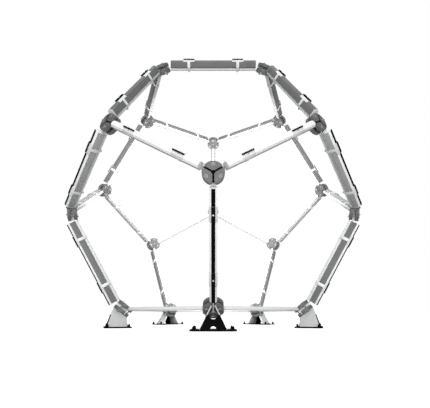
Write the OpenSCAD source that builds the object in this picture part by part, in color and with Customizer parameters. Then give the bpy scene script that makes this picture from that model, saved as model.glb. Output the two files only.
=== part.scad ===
/* [Frame] */
// Length of every strut line, from hub centre to hub centre
edge = 1000; // [900:10:1100]
// Height of the lowest hub centres above the ground
hub_lift = 160; // [154:1:176]

/* [Struts] */
// Outside diameter of the round grip tube
tube_d = 32; // [30:1:33]
// Wall of the grip tube
tube_wall = 3; // [2:0.5:4]
// Distance of the tube's axis outside the line between hub centres
tube_offset = 5; // [4:1:6]
// Distance from a hub centre to the end of a grip tube
tube_start = 92; // [92:1:100]
// Distance from a hub centre to the end of a board and its cap rail
board_start = 86; // [86:1:100]
// Width of the board
board_w = 54; // [50:1:58]
// Depth of the board, measured outwards
board_depth = 50; // [46:1:54]
// Depth of the bevelled cap rail
rail_depth = 16; // [12:1:20]
// Width of the cap rail's flat outer face
rail_face = 27; // [24:1:30]
// Thickness of the tread strip on the legs
strip_t = 8; // [4:1:9]

/* [Clamps] */
// Distance of each clamp from the middle of its strut
clamp_x = 236; // [200:1:260]
// Length of a clamp saddle along the strut
saddle_len = 108; // [90:1:120]
// Thickness of the saddle and the strap
sheet_t = 3; // [2:0.5:4]
// Width of a clamp strap along the strut
strap_w = 27; // [24:1:32]
// Height of the clamp bar
bar_h = 12; // [10:1:14]
// Diameter of a clamp bolt
clamp_bolt_d = 10; // [8:1:10]

/* [Hubs] */
// Diameter of a hub
hub_d = 155; // [150:1:156]
// Thickness of one layer of hub pads
pad_t = 29; // [28:0.5:30]
// Gap between the two layers of pads
pad_gap = 24; // [22:1:25]
// Thickness of a hub fin
fin_t = 8; // [6:1:8]
// Distance of the hub bolts from the hub's centre
hub_bolt_r = 55; // [52:1:56]

/* [Feet] */
// Width of a base plate, across the foot
base_w = 330; // [320:5:360]
// Depth of a base plate, in and out
base_d = 230; // [220:5:260]
// Thickness of a base plate
base_t = 10; // [8:1:12]
// Thickness of a foot cheek
cheek_t = 9; // [8:1:10]
// Thickness of the foot's front plate
front_t = 6; // [5:1:8]

/* [Hidden] */
$fn = 48;
eps = 0.5;

// A regular dodecahedron: five hubs on each of four levels
golden = (1 + sqrt(5)) / 2;
ring_in = edge / (2 * sin(36));
ring_out = ring_in * golden;
leg_rise = ring_in;
belt_rise = ring_in / golden;
dome_h = 2 * leg_rise + belt_rise;
belt_tilt = asin(belt_rise / edge);
strut_dip = asin(edge / 2 / sqrt(ring_in * ring_in + dome_h * dome_h / 4));

// Hub levels: radius, height above the lowest hubs, turn about Z, turn about the hub
BASE = [ring_in, 0, 0, 0];
LOWER = [ring_out, leg_rise, 0, 180];
UPPER = [ring_out, leg_rise + belt_rise, 36, 0];
CROWN = [ring_in, dome_h, 36, 180];

// Strut middles: turn about Z, radius, height above the lowest hubs, slope in the face
BASE_RING = [[36, ring_in * cos(36), 0, 0]];
LEGS = [[0, (ring_in + ring_out) / 2, leg_rise / 2, 90]];
BELT = [[18, ring_out * cos(18), dome_h / 2, belt_tilt], [-18, ring_out * cos(18), dome_h / 2, -belt_tilt]];
RISERS = [[36, (ring_in + ring_out) / 2, dome_h - leg_rise / 2, 90]];
CROWN_RING = [[0, ring_in * cos(36), dome_h, 0]];
SIDES = [[54, ring_out * cos(18), dome_h / 2, -belt_tilt], [-54, ring_out * cos(18), dome_h / 2, belt_tilt]];

// Levels across a strut, measured outwards from the line between hub centres
tube_r = tube_d / 2;
tube_bore = tube_r - tube_wall;
board_in = tube_offset + tube_r - 3;
board_out = board_in + board_depth;
rail_out = board_out + rail_depth;
saddle_out = rail_out + sheet_t;
bar_out = saddle_out + bar_h;
strap_in = tube_offset - tube_r - sheet_t;
end_t = 3;
board_len = edge - 2 * (board_start + end_t);
bar_w = 28;
belt_bar_w = 10;
belt_bar_y = 12;

// Hub levels along its own axis
hub_r = hub_d / 2;
face = pad_gap / 2 + pad_t;
fin_r = hub_r - 3;
post_r = 12;
eye_x = 80;
eye_r = 10;
pin_d = 10;
fork_in = 68;
plug_len = 58;
fin_slot = 12;
outer_notch_r = 62;
outer_notch = 24;
inner_notch_r = 57;
inner_notch = 38;
fin_in = -24;
inlay_t = 6;
washer_d = 24;
washer_t = 3;
hub_bolt_d = 10;

// Foot shape, measured from the base hub's centre: outwards and up
base_top = base_t - hub_lift;
foot_mid = 40;
cheek_foot = 94;
cheek_head = 13;
hub_tilt = atan2(ring_in, -dome_h / 2);
head_out = 84;
cheek_top = (head_out * sin(hub_tilt) - face) / -cos(hub_tilt);
cheek_lean = atan((cheek_foot - cheek_head) / (cheek_top - base_top));
toe_out = 132;
heel_out = -35;
front_lean = atan((toe_out - head_out) / (cheek_top - base_top));
front_top = -52;
saddle_cut_r = 31;
drain_r = 22;
anchor_x = 137;
anchor_y = 89;

module at_hubs(level)
    for (k = [0:4])
        rotate([0, 0, level[2] + 72 * k])
            translate([0, -level[0], hub_lift + level[1]])
                rotate([atan2(level[0], level[1] - dome_h / 2), 0, 0])
                    rotate([0, 0, level[3]])
                        children();

module at_all_hubs()
    for (level = [BASE, LOWER, UPPER, CROWN])
        at_hubs(level)
            children();

module at_struts(places, turns = [0:4])
    for (p = places, k = turns)
        rotate([0, 0, p[0] + 72 * k])
            translate([0, -p[1], hub_lift + p[2]])
                rotate([atan2(p[1], p[2] - dome_h / 2), 0, 0])
                    rotate([0, 0, p[3]])
                        children();

module at_clamped_struts()
    at_struts(concat(LEGS, BELT, RISERS, CROWN_RING))
        children();

// Both ends of a strut, with +X running from the hub centre into the strut
module at_ends()
    for (turn = [0, 180])
        rotate([0, 0, turn])
            translate([-edge / 2, 0, 0])
                children();

module at_clamps()
    for (side = [-1, 1])
        translate([side * clamp_x, 0, 0])
            children();

// The three strut directions of a hub, with +X along each arm
module at_arms()
    for (turn = [90, 210, 330])
        rotate([0, 0, turn])
            children();

// The three places between the arms where the hub bolts pass
module at_hub_bolts()
    for (turn = [30, 150, 270])
        rotate([0, 0, turn])
            translate([hub_bolt_r, 0, 0])
                children();

module at_feet()
    for (k = [0:4])
        rotate([0, 0, 72 * k])
            translate([0, -ring_in, hub_lift])
                children();

// A flat outline drawn across the strut (X across, Y outwards), run along the strut
module along_strut(length)
    rotate([90, 0, 90])
        translate([0, 0, -length / 2])
            linear_extrude(height = length)
                children();

// A round bar along the strut from one distance to another
module round_along(r, from, to, off)
    translate([from, 0, off])
        rotate([0, 90, 0])
            cylinder(r = r, h = to - from);

module clamp_holes()
    at_clamps()
        translate([0, 0, strap_in - eps])
            cylinder(d = clamp_bolt_d + 1, h = bar_out - strap_in + 2 * eps);

// ---- hubs ----

// One fin in profile, with its eye lying along the strut
module fin_outline()
    difference() {
        union() {
            translate([0, fin_in])
                square([fin_r, face - inlay_t - fin_in]);
            rotate(-strut_dip) {
                translate([0, tube_offset - eye_r])
                    square([eye_x, 2 * eye_r]);
                translate([eye_x, tube_offset])
                    circle(r = eye_r);
            }
        }
        rotate(-strut_dip)
            translate([eye_x, tube_offset])
                circle(d = pin_d + 0.2);
    }

module hub_core()
    color("gainsboro")
        union() {
            translate([0, 0, fin_in - 4])
                cylinder(r = post_r, h = face - inlay_t - fin_in + 4);
            at_arms()
                translate([0, fin_t / 2, 0])
                    rotate([90, 0, 0])
                        linear_extrude(height = fin_t)
                            fin_outline();
        }

// The black inlay over the fins, one three-armed piece flush with the outer face
module inlay()
    color("black")
        translate([0, 0, face - inlay_t])
            linear_extrude(height = inlay_t)
                union() {
                    circle(r = post_r);
                    at_arms()
                        translate([0, -fin_t / 2])
                            square([fin_r, fin_t]);
                }

// The outline of a layer: a rounded drum from z = 0 outwards, with a hole for the post
module drum(hole)
    rotate_extrude()
        polygon([[hole, 0], [hub_r, 0], [hub_r, pad_t - 3], [hub_r - 3, pad_t], [hole, pad_t]]);

// A cut along each arm, from one distance to another
module arm_cut(width, from, to, low, high)
    at_arms()
        translate([from, -width / 2, low])
            cube([to - from, width, high - low]);

module bolt_cut()
    at_hub_bolts()
        translate([0, 0, -eps])
            cylinder(d = hub_bolt_d + 0.4, h = pad_t + 2 * eps);

module outer_pads()
    color("dimgray")
        translate([0, 0, pad_gap / 2])
            difference() {
                drum(post_r + 1);
                arm_cut(fin_slot, 0, hub_r + 1, -eps, pad_t + eps);
                arm_cut(outer_notch, outer_notch_r, hub_r + 1, -eps, pad_t + eps);
                bolt_cut();
            }

// The inner disc is whole on its face, and hollowed behind for the fins and the strut ends
module inner_disc()
    color("dimgray")
        mirror([0, 0, 1])
            translate([0, 0, pad_gap / 2])
                difference() {
                    drum(8);
                    translate([0, 0, -eps])
                        cylinder(r = post_r + 1, h = pad_t - 6 + eps);
                    arm_cut(fin_slot, 0, inner_notch_r + 1, -eps, pad_t - 6);
                    arm_cut(inner_notch, inner_notch_r, hub_r + 1, -eps, pad_t + eps);
                    bolt_cut();
                }

module hub_bolts()
    color("silver")
        at_hub_bolts() {
            translate([0, 0, -face - washer_t - 10])
                cylinder(d = hub_bolt_d, h = 2 * face + 2 * washer_t + 12);
            translate([0, 0, face + washer_t])
                cylinder(d = 17, h = 4);
            translate([0, 0, face + washer_t + 4])
                cylinder(d1 = 17, d2 = 9, h = 3);
        }

module hub_washer_set()
    color("gainsboro")
        at_hub_bolts()
            for (z = [-face - washer_t, face])
                translate([0, 0, z])
                    difference() {
                        cylinder(d = washer_d, h = washer_t);
                        translate([0, 0, -eps])
                            cylinder(d = hub_bolt_d + 0.2, h = washer_t + 2 * eps);
                    }

module hub_nut_set()
    color("silver")
        at_hub_bolts()
            translate([0, 0, -face - washer_t - 8])
                difference() {
                    cylinder(d = 19, h = 8, $fn = 6);
                    translate([0, 0, -eps])
                        cylinder(d = hub_bolt_d + 0.1, h = 8 + 2 * eps);
                }

// ---- struts ----

module plain_tube()
    color("white")
        difference() {
            round_along(tube_r, tube_start - edge / 2, edge / 2 - tube_start, tube_offset);
            round_along(tube_bore, tube_start - edge / 2 - eps, edge / 2 - tube_start + eps, tube_offset);
        }

module clamped_tube()
    difference() {
        plain_tube();
        clamp_holes();
    }

module board(shade)
    color(shade)
        difference() {
            along_strut(board_len)
                translate([-board_w / 2, board_in])
                    square([board_w, board_depth]);
            round_along(tube_r + 0.2, -edge / 2, edge / 2, tube_offset);
            clamp_holes();
        }

module cap_rail(shade)
    color(shade)
        difference() {
            along_strut(board_len)
                polygon([[-board_w / 2, board_out], [board_w / 2, board_out],
                         [rail_face / 2, rail_out], [-rail_face / 2, rail_out]]);
            clamp_holes();
        }

// A thin plate closes each end of a board and its rail
module end_plate()
    color("gainsboro")
        at_ends()
            difference() {
                translate([board_start, 0, 0])
                    rotate([90, 0, 90])
                        linear_extrude(height = end_t)
                            polygon([[-board_w / 2, board_in], [board_w / 2, board_in],
                                     [board_w / 2, board_out], [rail_face / 2, rail_out],
                                     [-rail_face / 2, rail_out], [-board_w / 2, board_out]]);
                round_along(tube_r + 0.2, 0, edge / 2, tube_offset);
            }

// The strip stops short of the clamp saddles
module tread_strip()
    color("black")
        difference() {
            along_strut(board_len)
                translate([-rail_face / 2, rail_out])
                    square([rail_face, strip_t]);
            at_clamps()
                translate([-saddle_len / 2 - eps, -board_w / 2, rail_out - eps])
                    cube([saddle_len + 2 * eps, board_w, strip_t + 2 * eps]);
        }

module fork()
    color("whitesmoke")
        at_ends()
            difference() {
                union() {
                    round_along(tube_r, fork_in, tube_start, tube_offset);
                    round_along(tube_bore - 0.1, tube_start - eps, tube_start + plug_len, tube_offset);
                }
                translate([fork_in - eps, -fin_t / 2 - 0.6, tube_offset - tube_r - eps])
                    cube([eye_x + eye_r + 1 - fork_in, fin_t + 1.2, tube_d + 2 * eps]);
                translate([eye_x, tube_r + eps, tube_offset])
                    rotate([90, 0, 0])
                        cylinder(d = pin_d + 0.2, h = tube_d + 2 * eps);
            }

module fork_pin()
    color("dimgray")
        at_ends()
            translate([eye_x, tube_r + 1, tube_offset])
                rotate([90, 0, 0])
                    cylinder(d = pin_d, h = tube_d + 2);

// ---- clamps ----

// Where a line from a corner just touches the round part of the strap
function touch(corner, r) =
    let (away = corner - [0, tube_offset])
    let (turn = atan2(away[1], away[0]) - acos(r / norm(away)))
    [r * cos(turn), tube_offset + r * sin(turn)];

module strap_outline(r, half_w, shoulder, top) {
    side = touch([half_w, shoulder], r);
    translate([0, tube_offset])
        circle(r = r);
    polygon([[-half_w, top], [half_w, top], [half_w, shoulder], side,
             [-side[0], side[1]], [-half_w, shoulder]]);
}

module strap()
    color("gainsboro")
        difference() {
            at_clamps()
                along_strut(strap_w)
                    difference() {
                        strap_outline(tube_r + sheet_t, board_w / 2 + sheet_t, board_in - 1, board_out);
                        strap_outline(tube_r + 0.1, board_w / 2, board_in, board_out + 1);
                    }
            clamp_holes();
        }

module saddle()
    color("gainsboro")
        difference() {
            at_clamps()
                along_strut(saddle_len)
                    difference() {
                        polygon([[-board_w / 2 - sheet_t, board_out], [-rail_face / 2 - 1.5, saddle_out],
                                 [rail_face / 2 + 1.5, saddle_out], [board_w / 2 + sheet_t, board_out]]);
                        polygon([[-board_w / 2, board_out], [-rail_face / 2, rail_out],
                                 [rail_face / 2, rail_out], [board_w / 2, board_out]]);
                    }
            clamp_holes();
        }

module bar_block(width)
    along_strut(saddle_len - 4)
        polygon([[-width / 2, saddle_out], [width / 2, saddle_out], [width / 2, bar_out - 2],
                 [width / 2 - 2, bar_out], [2 - width / 2, bar_out], [-width / 2, bar_out - 2]]);

module clamp_bar()
    color("black")
        at_clamps()
            difference() {
                bar_block(bar_w);
                translate([0, 0, saddle_out - eps])
                    cylinder(d = clamp_bolt_d + 0.4, h = bar_h + 2 * eps);
            }

// On the belt the bar is narrow and lies along the upper edge of the saddle
module belt_clamp_bar()
    color("black")
        at_clamps()
            translate([0, belt_bar_y, 0])
                bar_block(belt_bar_w);

module clamp_bolt(head_d, under)
    color("white")
        at_clamps() {
            translate([0, 0, strap_in - 9])
                cylinder(d = clamp_bolt_d, h = under - strap_in + 9);
            translate([0, 0, under])
                cylinder(d1 = head_d, d2 = head_d - 3, h = 3);
        }

module clamp_nut()
    color("silver")
        at_clamps()
            translate([0, 0, strap_in - 8])
                difference() {
                    cylinder(d = 19, h = 8, $fn = 6);
                    translate([0, 0, -eps])
                        cylinder(d = clamp_bolt_d + 0.1, h = 8 + 2 * eps);
                }

// ---- feet ----

// An outline drawn in (outwards, up), run across the foot
module across_foot(width)
    rotate([90, 0, -90])
        translate([0, 0, -width / 2])
            linear_extrude(height = width)
                children();

module base_plate()
    color("black")
        difference() {
            translate([0, -foot_mid, base_top - base_t])
                linear_extrude(height = base_t)
                    polygon([[-base_w / 2, -base_d / 2 + 25], [-base_w / 2 + 25, -base_d / 2],
                             [base_w / 2 - 25, -base_d / 2], [base_w / 2, -base_d / 2 + 25],
                             [base_w / 2, base_d / 2 - 25], [base_w / 2 - 25, base_d / 2],
                             [-base_w / 2 + 25, base_d / 2], [-base_w / 2, base_d / 2 - 25]]);
            at_anchors()
                translate([0, 0, -base_t - eps])
                    cylinder(d = 13, h = base_t + 2 * eps);
        }

module at_anchors()
    for (x = [-anchor_x, anchor_x], y = [-anchor_y, anchor_y])
        translate([x, y - foot_mid, base_top])
            children();

// Cheeks stand on the base plate, lean together and meet the hub's outer face
module cheeks()
    color("gainsboro")
        for (side = [-1, 1])
            intersection() {
                across_foot(base_w)
                    polygon([[toe_out, base_top], [head_out, cheek_top],
                             [heel_out, (heel_out * sin(hub_tilt) - face) / -cos(hub_tilt)],
                             [heel_out, base_top]]);
                translate([side * cheek_foot, 0, base_top])
                    rotate([0, -side * cheek_lean, 0])
                        translate([-cheek_t / 2, -base_d, -base_t])
                            cube([cheek_t, 2 * base_d, 2 * base_d]);
            }

// The front plate covers the cheeks' outer edges, cut round under the hub
module front_plate()
    color("black")
        difference() {
            translate([0, -toe_out, base_top])
                rotate([90 - front_lean, 0, 0])
                    linear_extrude(height = front_t)
                        front_outline();
            translate([-base_w / 2, -2 * base_d, base_top - base_t])
                cube([base_w, 2 * base_d, base_t]);
        }

module front_outline() {
    plate_h = (front_top - base_top) / cos(front_lean);
    head_w = cheek_foot - (front_top - base_top) * tan(cheek_lean);
    difference() {
        polygon([[-cheek_foot, 0], [cheek_foot, 0], [head_w, plate_h], [-head_w, plate_h]]);
        translate([0, plate_h])
            circle(r = saddle_cut_r);
        circle(r = drain_r);
    }
}

module anchors()
    color("black")
        at_anchors() {
            translate([0, 0, 1 - base_t])
                cylinder(d = 12, h = base_t + 3);
            cylinder(d = 24, h = 3);
            translate([0, 0, 3])
                cylinder(d = 20, h = 12);
            translate([0, 0, 15])
                sphere(d = 20);
        }

at_hubs(BASE) hub_core();  // base_hub_cores
at_hubs(LOWER) hub_core();  // lower_hub_cores
at_hubs(UPPER) hub_core();  // upper_hub_cores
at_hubs(CROWN) hub_core();  // crown_hub_cores
for (level = [LOWER, UPPER, CROWN]) at_hubs(level) inlay();  // hub_inlays
at_hubs(BASE) outer_pads();  // base_outer_pads
at_hubs(LOWER) outer_pads();  // lower_outer_pads
at_hubs(UPPER) outer_pads();  // upper_outer_pads
at_hubs(CROWN) outer_pads();  // crown_outer_pads
at_hubs(BASE) inner_disc();  // base_inner_discs
at_hubs(LOWER) inner_disc();  // lower_inner_discs
at_hubs(UPPER) inner_disc();  // upper_inner_discs
at_hubs(CROWN) inner_disc();  // crown_inner_discs
at_hubs(BASE) hub_bolts();  // base_hub_bolts
at_hubs(LOWER) hub_bolts();  // lower_hub_bolts
at_hubs(UPPER) hub_bolts();  // upper_hub_bolts
at_hubs(CROWN) hub_bolts();  // crown_hub_bolts
at_all_hubs() hub_washer_set();  // hub_washers
at_all_hubs() hub_nut_set();  // hub_nuts
at_struts(BASE_RING) plain_tube();  // base_ring_tubes
at_struts(LEGS) clamped_tube();  // leg_tubes
at_struts(BELT) clamped_tube();  // belt_tubes
at_struts(RISERS) clamped_tube();  // riser_tubes
at_struts(CROWN_RING) clamped_tube();  // crown_ring_tubes
at_struts(LEGS) board("gray");  // leg_boards
at_struts(BELT) board("gray");  // belt_boards
at_struts(RISERS) board("gray");  // riser_boards
at_struts(CROWN_RING) board("gray");  // crown_ring_boards
at_struts(LEGS) cap_rail("white");  // leg_rails
at_struts(BELT) cap_rail("white");  // belt_rails
at_struts(RISERS) cap_rail("gray");  // riser_rails
at_struts(CROWN_RING) cap_rail("gray");  // crown_ring_rails
at_struts(BASE_RING) fork();  // base_ring_forks
at_struts(LEGS) fork();  // leg_forks
at_struts(BELT) fork();  // belt_forks
at_struts(RISERS) fork();  // riser_forks
at_struts(CROWN_RING) fork();  // crown_ring_forks
at_struts(LEGS) strap();  // leg_straps
at_struts(BELT) strap();  // belt_straps
at_struts(RISERS) strap();  // riser_straps
at_struts(CROWN_RING) strap();  // crown_ring_straps
at_struts(LEGS) saddle();  // leg_saddles
at_struts(BELT) saddle();  // belt_saddles
at_struts(RISERS) saddle();  // riser_saddles
at_struts(CROWN_RING) saddle();  // crown_ring_saddles
at_clamped_struts() end_plate();  // board_end_plates
union() {  // fork_pins
    at_struts(BASE_RING) fork_pin();
    at_clamped_struts() fork_pin();
}
at_struts(LEGS) tread_strip();  // leg_tread_strips
at_struts(SIDES, [0]) tread_strip();  // side_tread_strips
at_struts(concat(LEGS, RISERS, CROWN_RING)) clamp_bar();  // clamp_bars
at_struts(BELT) belt_clamp_bar();  // belt_clamp_bars
union() {  // clamp_bolts
    at_struts(concat(LEGS, RISERS, CROWN_RING)) clamp_bolt(14, bar_out);
    at_struts(BELT) clamp_bolt(clamp_bolt_d + 2, saddle_out);
}
at_clamped_struts() clamp_nut();  // clamp_nuts
at_feet() base_plate();  // foot_base_plates
at_feet() cheeks();  // foot_cheeks
at_feet() front_plate();  // foot_front_plates
at_feet() anchors();  // anchor_bolts
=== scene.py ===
import math
import bpy
import bmesh
import numpy as np
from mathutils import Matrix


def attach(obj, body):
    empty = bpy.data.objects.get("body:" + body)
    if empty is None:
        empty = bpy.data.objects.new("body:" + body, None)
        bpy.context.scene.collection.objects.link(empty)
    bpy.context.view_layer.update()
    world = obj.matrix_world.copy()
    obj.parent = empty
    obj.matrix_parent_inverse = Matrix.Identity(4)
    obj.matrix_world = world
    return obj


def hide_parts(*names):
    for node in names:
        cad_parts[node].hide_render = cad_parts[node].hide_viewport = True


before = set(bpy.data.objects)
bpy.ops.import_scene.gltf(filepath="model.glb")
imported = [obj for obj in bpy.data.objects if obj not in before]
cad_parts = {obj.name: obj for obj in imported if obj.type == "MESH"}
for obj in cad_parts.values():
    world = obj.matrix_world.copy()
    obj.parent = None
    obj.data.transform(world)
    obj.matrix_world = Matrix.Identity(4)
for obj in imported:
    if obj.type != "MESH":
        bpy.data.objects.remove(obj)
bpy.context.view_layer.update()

# Hub pads and discs
# Grey injection-moulded nylon: three sectors on the outer side of a hub and one disc on the inner side, held
# by the hub's bolts. The mould leaves a fine stipple, softly rounded edges and a little cloudiness.


class Tone:
    """A number or colour that changes over a surface; arithmetic on it adds the nodes that work it out."""

    def __init__(self, nodes, socket):
        self.nodes = nodes
        self.socket = socket

    def _math(self, operation, first, second):
        return self.nodes.node("Math", {"operation": operation}, {0: first, 1: second})

    def __add__(self, other):
        return self._math("ADD", self, other)

    def __radd__(self, other):
        return self._math("ADD", other, self)

    def __rsub__(self, other):
        return self._math("SUBTRACT", other, self)

    def __mul__(self, other):
        return self._math("MULTIPLY", self, other)

    def __rmul__(self, other):
        return self._math("MULTIPLY", other, self)


class Nodes:
    """The node tree of a material or world, and the shader in it that is fed."""

    def __init__(self, owner, shader):
        owner.use_nodes = True
        self.tree = owner.node_tree
        self.shader = self.tree.nodes[shader]

    def join(self, value, socket):
        if isinstance(value, Tone):
            self.tree.links.new(value.socket, socket)
        else:
            socket.default_value = value

    def feed(self, name, value):
        self.join(value, self.shader.inputs[name])

    def node(self, kind, settings=None, inputs=None, output=0):
        made = self.tree.nodes.new("ShaderNode" + kind)
        for key, value in (settings or {}).items():
            setattr(made, key, value)
        for key, value in (inputs or {}).items():
            self.join(value, made.inputs[key])
        return Tone(self, made.outputs[output])


class Finish(Nodes):
    """A surface finish: a Principled shader and the nodes that feed it."""

    def __init__(self, name, **settings):
        self.material = bpy.data.materials.new(name)
        super().__init__(self.material, "Principled BSDF")
        self.place = self.node("TexCoord", output="Object")
        for key, value in settings.items():
            self.feed(key.replace("_", " "), value)

    def noise(self, scale, detail, place=None):
        return self.node("TexNoise", {}, {"Vector": place or self.place, "Scale": scale, "Detail": detail})

    def between(self, value, low, high):
        """0 below low, 1 above high, and smooth in between."""
        span = {"From Min": low, "From Max": high}
        return self.node("MapRange", {"interpolation_type": "SMOOTHSTEP"}, {"Value": value, **span})

    def tint(self, amount, dark, light):
        mix = {"data_type": "RGBA", "clamp_factor": True}
        return self.node("Mix", mix, {0: amount, 6: (*dark, 1), 7: (*light, 1)}, output=2)

    def colour(self, amount, dark, light):
        self.feed("Base Color", self.tint(amount, dark, light))

    def bump(self, height, depth):
        raised = self.node("Bump", {}, {"Height": height, "Distance": depth, "Strength": 1.0})
        self.feed("Normal", raised)

    def run(self):
        """The direction a piece is longest in, and how far along it each point lies."""
        way = self.node("Attribute", {"attribute_name": "lengthwise"}, output="Vector")
        both = {0: self.place, 1: way}
        return way, self.node("VectorMath", {"operation": "DOT_PRODUCT"}, both, output="Value")

    def along(self, stretch):
        """Coordinates drawn out along each piece's own length, for lines left by an extruder."""
        way, far = self.run()
        back = self.node("VectorMath", {"operation": "SCALE"}, {0: way, "Scale": far * (stretch - 1)})
        return self.node("VectorMath", {"operation": "ADD"}, {0: self.place, 1: back})


def wear(piece_or_node, finish):
    """Gives a piece its finish."""
    data = piece_or_node.data
    data.materials.clear()
    data.materials.append(finish.material)
    for face in data.polygons:
        face.material_index = 0


WELD = 0.00002
FLAT = math.radians(2)
SHARP = math.radians(32)
SMOOTH = math.radians(34)


def eased(node, ease):
    """A copy of a CAD node with its sharp edges rounded off, which stands in for the node."""
    piece = bpy.data.objects.new(node + "_eased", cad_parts[node].data.copy())
    bpy.context.scene.collection.objects.link(piece)
    bpy.ops.object.select_all(action="DESELECT")
    piece.select_set(True)
    bpy.context.view_layer.objects.active = piece
    bpy.ops.object.mode_set(mode="EDIT")
    bpy.ops.mesh.select_all(action="SELECT")
    bpy.ops.mesh.remove_doubles(threshold=WELD)
    bpy.ops.mesh.dissolve_limited(angle_limit=FLAT)
    bpy.ops.object.mode_set(mode="OBJECT")
    bevel = piece.modifiers.new("ease", "BEVEL")
    bevel.width = ease
    bevel.segments = 2
    bevel.limit_method = "ANGLE"
    bevel.angle_limit = SHARP
    bevel.use_clamp_overlap = True
    bpy.ops.object.modifier_apply(modifier=bevel.name)
    bpy.ops.object.shade_smooth_by_angle(angle=SMOOTH)
    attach(piece, "root")
    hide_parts(node)
    return piece


pad_grey = Finish("pad_grey")
cloud = pad_grey.between(pad_grey.noise(14, 4), 0.35, 0.65)
stipple = pad_grey.noise(700, 2)
pad_grey.colour(cloud, (0.088, 0.089, 0.090), (0.106, 0.107, 0.108))
pad_grey.feed("Roughness", 0.5 + 0.12 * pad_grey.noise(40, 3))
pad_grey.bump(stipple + cloud * 0.3, 0.00006)
TIERS = ("base", "lower", "upper", "crown")
MOULDED_EDGE = 0.0022
for tier in TIERS:
    wear(eased(f"{tier}_outer_pads", MOULDED_EDGE), pad_grey)
    wear(eased(f"{tier}_inner_discs", MOULDED_EDGE), pad_grey)

# Hub cores and inlays
# Castings, powder-coated pale grey: a post with three fins, each with an eye that takes a strut's pin. Above
# the feet, a black rubber inlay with three arms is pressed on over the fins. It has a slight bloom.
coat_pale = Finish("coat_pale")
coat_pale.colour(coat_pale.noise(30, 4), (0.62, 0.63, 0.64), (0.70, 0.71, 0.715))
coat_pale.feed("Roughness", 0.34 + 0.14 * coat_pale.noise(60, 3))
coat_pale.bump(coat_pale.noise(260, 3), 0.00012)
NEAR_BLACK = (0.0015, 0.0015, 0.0015), (0.003, 0.003, 0.003)
FAINT_SHINE = 0.03
THIN_EDGE = 0.0008
rubber = Finish("inlay_rubber", Specular_IOR_Level=FAINT_SHINE)
bloom = rubber.between(rubber.noise(22, 4), 0.4, 0.75)
rubber.colour(bloom, *NEAR_BLACK)
rubber.feed("Roughness", 0.7 + 0.15 * bloom)
rubber.bump(rubber.noise(600, 2), 0.0001)
for tier in TIERS:
    wear(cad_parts[f"{tier}_hub_cores"], coat_pale)
wear(eased("hub_inlays", THIN_EDGE), rubber)

# Hub bolts, washers and nuts
# Dull steel bolts run through pads and disc, with a smooth pale washer under each head and nut. The nuts are
# zinc-plated, which leaves a faint crystal mottle, and the washers are moulded nylon.
PLATED = 0.9
zinc = Finish("zinc", Metallic=PLATED)
crystal = zinc.node("TexVoronoi", {}, {"Vector": zinc.place, "Scale": 260.0}, output="Color")
facet = zinc.node("SeparateColor", {}, {0: crystal})
zinc.colour(facet, (0.44, 0.45, 0.46), (0.56, 0.57, 0.58))
zinc.feed("Roughness", 0.28 + 0.14 * zinc.noise(90, 3))
zinc.bump(zinc.noise(500, 2), 0.00006)
bolt_dull = Finish("bolt_dull", Metallic=PLATED)
bolt_dull.colour(bolt_dull.noise(120, 3), (0.13, 0.13, 0.135), (0.18, 0.18, 0.185))
bolt_dull.feed("Roughness", 0.4 + 0.14 * bolt_dull.noise(90, 3))
bolt_dull.bump(bolt_dull.noise(500, 2), 0.00006)
nylon = Finish("washer_nylon")
nylon.colour(nylon.noise(60, 3), (0.40, 0.405, 0.41), (0.47, 0.475, 0.48))
nylon.feed("Roughness", 0.34 + 0.12 * nylon.noise(120, 2))
nylon.bump(nylon.noise(800, 2), 0.00008)
for tier in TIERS:
    wear(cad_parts[f"{tier}_hub_bolts"], bolt_dull)
wear(eased("hub_washers", THIN_EDGE), nylon)
wear(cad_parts["hub_nuts"], zinc)

# Grip tubes
# Round steel tube, powder-coated pale grey, on the inner side of every strut, where hands and feet go. The
# drawn tube shows faint lines along its length through the coat, and hands have polished it in places.


def lengthwise(piece):
    """Marks every point with the direction in which its own loose part is longest."""
    mesh = bmesh.new()
    mesh.from_mesh(piece.data)
    mesh.verts.ensure_lookup_table()
    run = np.zeros((len(mesh.verts), 3))
    seen = np.zeros(len(mesh.verts), bool)
    for start in mesh.verts:
        if seen[start.index]:
            continue
        part, queue = [], [start]
        seen[start.index] = True
        while queue:
            point = queue.pop()
            part.append(point.index)
            for line in point.link_edges:
                other = line.other_vert(point)
                if not seen[other.index]:
                    seen[other.index] = True
                    queue.append(other)
        spots = np.array([mesh.verts[i].co for i in part])
        spots -= spots.mean(axis=0)
        run[part] = np.linalg.svd(spots, full_matrices=False)[2][0]
    mesh.free()
    mark = piece.data.attributes.new("lengthwise", "FLOAT_VECTOR", "POINT")
    mark.data.foreach_set("vector", run.ravel())
    return piece


coat_tube = Finish("coat_tube")
DRAWN_STRETCH = 0.01
drawn = coat_tube.noise(260, 3, place=coat_tube.along(DRAWN_STRETCH))
handled = coat_tube.between(coat_tube.noise(5, 3), 0.45, 0.7)
coat_tube.colour(coat_tube.noise(30, 4), (0.66, 0.67, 0.675), (0.73, 0.735, 0.74))
coat_tube.feed("Roughness", 0.42 - 0.12 * handled + 0.06 * drawn)
coat_tube.bump(drawn + coat_tube.noise(350, 2) * 0.8, 0.0001)
BOARDED = ("leg", "belt", "riser", "crown_ring")
for group in ("base_ring", *BOARDED):
    wear(lengthwise(eased(f"{group}_tubes", THIN_EDGE)), coat_tube)

# Boards
# Extruded grey polyethylene with a groove that seats the tube. On the ten struts of the belt the same board
# is painted a lighter grey, painted light that stands in for the brighter light falling on them.
# The die leaves fine lines along the board, and the skin is matt with a little mottling.


DIE_STRETCH = 0.004


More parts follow.
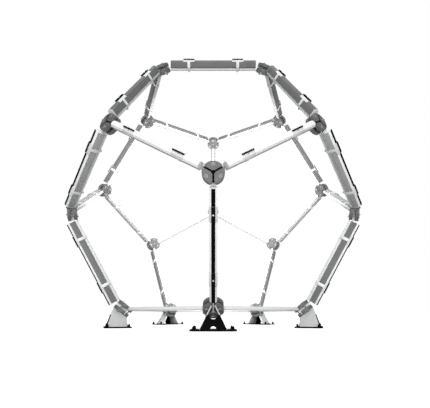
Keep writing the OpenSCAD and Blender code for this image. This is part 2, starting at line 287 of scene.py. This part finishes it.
def board_finish(name, dark, light):
    finish = Finish(name)
    die_lines = finish.noise(420, 3, place=finish.along(DIE_STRETCH))
    mottle = finish.between(finish.noise(9, 5), 0.3, 0.7)
    finish.colour(0.7 * mottle + 0.3 * die_lines, dark, light)
    finish.feed("Roughness", 0.52 + 0.14 * die_lines)
    finish.bump(die_lines + finish.noise(900, 2) * 0.3, 0.0001)
    return finish


board_grey = board_finish("board_grey", (0.118, 0.120, 0.121), (0.138, 0.140, 0.141))
# Painted light: the same grey board made about three times lighter, standing in for the brighter light on
# the belt struts.
board_painted_lit = board_finish("board_painted_lit", (0.33, 0.335, 0.335), (0.38, 0.385, 0.385))
BOARD_EDGE = 0.003
for group in ("leg", "riser", "crown_ring"):
    wear(lengthwise(eased(f"{group}_boards", BOARD_EDGE)), board_grey)
# The belt boards wear the lighter copy, whose extra brightness is painted light.
wear(lengthwise(eased("belt_boards", BOARD_EDGE)), board_painted_lit)

# Cap rails
# Extruded white polyethylene with bevelled flanks, clamped on the outer face of each board. On the five
# upper slanting struts and the top ring the rail is grey like the board.
rail_white = Finish("rail_white")
rail_lines = rail_white.noise(420, 3, place=rail_white.along(DIE_STRETCH))
dust = rail_white.between(rail_white.noise(7, 5), 0.45, 0.75)
rail_white.colour(dust, (0.87, 0.875, 0.87), (0.82, 0.825, 0.815))
rail_white.feed("Roughness", 0.44 + 0.14 * rail_lines)
rail_white.bump(rail_lines + rail_white.noise(900, 2) * 0.3, 0.0001)
RAIL_EDGE = 0.0016
for group in ("leg", "belt"):
    wear(lengthwise(eased(f"{group}_rails", RAIL_EDGE)), rail_white)
for group in ("riser", "crown_ring"):
    wear(lengthwise(eased(f"{group}_rails", RAIL_EDGE)), board_grey)

# Tread strips
# Black rubber glued to the outer face of the legs and of two side struts, for grip. It is ribbed across its
# length and dull, with a slight bloom.
tread = Finish("tread_rubber", Specular_IOR_Level=FAINT_SHINE)
RIB_PITCH = 0.006
ribs = tread.node("Math", {"operation": "SINE"}, {0: tread.run()[1] * (2 * math.pi / RIB_PITCH)})
bloom = tread.between(tread.noise(22, 4), 0.4, 0.75)
tread.colour(bloom, (0.001, 0.001, 0.001), (0.0025, 0.0025, 0.0025))
tread.feed("Roughness", 0.7 + 0.15 * bloom)
tread.bump(ribs * 0.5 + tread.noise(600, 2) * 0.2, 0.0006)
for group in ("leg", "side"):
    wear(lengthwise(eased(f"{group}_tread_strips", 0.001)), tread)

# Forks and pins
# Galvanised forgings plugged into the ends of each tube. They straddle the hub's eyes, and a plain steel pin
# goes through both.
galvanised = Finish("galvanised", Metallic=0.6)
spangle = galvanised.node("TexVoronoi", {}, {"Vector": galvanised.place, "Scale": 140.0}, output="Color")
flake = galvanised.node("SeparateColor", {}, {0: spangle})
galvanised.colour(flake, (0.52, 0.53, 0.54), (0.64, 0.65, 0.66))
galvanised.feed("Roughness", 0.38 + 0.18 * flake)
galvanised.bump(galvanised.noise(300, 3), 0.00015)
for group in ("base_ring", *BOARDED):
    wear(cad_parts[f"{group}_forks"], galvanised)
wear(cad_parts["fork_pins"], zinc)

# Clamps
# Pressed steel straps and saddles, powder-coated pale grey, grip board, rail and tube together. A black
# plastic bar lies on each saddle, and a bolt with a nut on the inside draws strap and saddle together.
coat_clamp = Finish("coat_clamp")
coat_clamp.colour(coat_clamp.noise(45, 4), (0.66, 0.665, 0.67), (0.74, 0.745, 0.745))
coat_clamp.feed("Roughness", 0.34 + 0.14 * coat_clamp.noise(60, 3))
coat_clamp.bump(coat_clamp.noise(240, 3), 0.00014)
PRESSED_EDGE = 0.0007
for group in BOARDED:
    wear(eased(f"{group}_straps", PRESSED_EDGE), coat_clamp)
    wear(eased(f"{group}_saddles", PRESSED_EDGE), coat_clamp)
coat_end = Finish("coat_end")
coat_end.colour(coat_end.noise(35, 3), (0.84, 0.845, 0.85), (0.89, 0.895, 0.90))
coat_end.feed("Roughness", 0.5 + 0.14 * coat_end.noise(60, 3))
coat_end.bump(coat_end.noise(240, 3), 0.0001)
wear(eased("board_end_plates", THIN_EDGE), coat_end)
bar_black = Finish("bar_black", Specular_IOR_Level=FAINT_SHINE)
bar_black.colour(bar_black.noise(50, 3), *NEAR_BLACK)
bar_black.feed("Roughness", 0.5 + 0.18 * bar_black.noise(80, 3))
bar_black.bump(bar_black.noise(800, 2), 0.0001)
wear(eased("clamp_bars", 0.001), bar_black)
wear(eased("belt_clamp_bars", THIN_EDGE), bar_black)
wear(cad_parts["clamp_bolts"], zinc)
wear(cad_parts["clamp_nuts"], zinc)

# Feet
# Each foot is a black base plate with two leaning cheeks and a black front plate welded on. Four anchor
# bolts hold it to the ground, under black plastic caps.
coat_black = Finish("coat_black", Specular_IOR_Level=FAINT_SHINE)
coat_black.colour(coat_black.noise(25, 3), *NEAR_BLACK)
coat_black.feed("Roughness", 0.55 + 0.16 * coat_black.noise(18, 3))
coat_black.bump(coat_black.noise(320, 2), 0.0001)
coat_foot = Finish("coat_foot")
coat_foot.colour(coat_foot.noise(20, 4), (0.46, 0.465, 0.47), (0.53, 0.535, 0.54))
coat_foot.feed("Roughness", 0.36 + 0.14 * coat_foot.noise(35, 3))
coat_foot.bump(coat_foot.noise(320, 2), 0.00014)
PLATE_EDGE = 0.0015
wear(eased("foot_base_plates", PLATE_EDGE), coat_black)
wear(eased("foot_cheeks", PLATE_EDGE), coat_foot)
wear(eased("foot_front_plates", 0.0012), coat_black)
wear(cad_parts["anchor_bolts"], bar_black)

# Setting
# A plain pale floor and a white surround. A broad soft sun in front does most of the lighting, with weak
# lamps above, inside and low in front, and the camera stands near the ground.
bpy.ops.object.select_all(action="DESELECT")
bpy.ops.mesh.primitive_plane_add(size=60, location=(0, 0, 0))
floor = bpy.context.object
floor.name = "floor"
GLOW_FROM, GLOW_FULL = 1.7, 4.0
pale = Finish("floor_pale", Roughness=0.9, Emission_Strength=1.0)
away = pale.node("VectorMath", {"operation": "LENGTH"}, {0: pale.place}, output="Value")
glow = pale.between(away, GLOW_FROM, GLOW_FULL)
pale.colour(pale.noise(3, 3), (0.80, 0.80, 0.80), (0.84, 0.84, 0.84))
pale.feed("Emission Color", pale.tint(glow, (0.5, 0.5, 0.5), (1.0, 1.0, 1.0)))
floor.data.materials.append(pale.material)
floor.visible_diffuse = False

world = bpy.data.worlds.new("studio")
bpy.context.scene.world = world
studio = Nodes(world, "Background")
up = studio.node("SeparateXYZ", {}, {0: studio.node("TexCoord", output="Generated")}, output="Z")
ambient = studio.node("MapRange", {}, {"Value": up, "From Min": -1.0, "To Min": 0.35, "To Max": 0.5})
seen = studio.node("LightPath", output="Is Camera Ray")
studio.feed("Color", (1, 1, 1, 1))
studio.feed("Strength", studio.node("Mix", {}, {0: seen, 2: ambient, 3: 1.0}))


def stand(name, data, place, lean):
    """Puts a light or the camera in place, leaning so many degrees up from straight down."""
    made = bpy.data.objects.new(name, data)
    made.location = place
    made.rotation_euler = (math.radians(lean), 0, 0)
    bpy.context.scene.collection.objects.link(made)
    return made


def disk_lamp(name, width, energy, place, lean):
    lamp = bpy.data.lights.new(name, "AREA")
    lamp.shape = "DISK"
    lamp.size = width
    lamp.energy = energy
    return stand(name, lamp, place, lean)


disk_lamp("ceiling", 7, 150, (0, 0, 7), 0)
sun = bpy.data.lights.new("front", "SUN")
sun.energy = 2.7
sun.angle = math.radians(35)
stand("front", sun, (0, 0, 0), 84)
disk_lamp("rear_fill", 1.6, 65, (0, -0.3, 1.25), 90).visible_camera = False
disk_lamp("low_fill", 1.0, 7, (0, -2.6, 0.35), 83).visible_camera = False

view = bpy.data.cameras.new("camera")
view.sensor_width = 36
view.lens = 29.21944
view.shift_x = 0.00405
view.shift_y = -0.0019
bpy.context.scene.camera = stand("camera", view, (0, -3.53977, 0.11173), 90 + 17.664)
bpy.context.scene.view_settings.view_transform = "Standard"
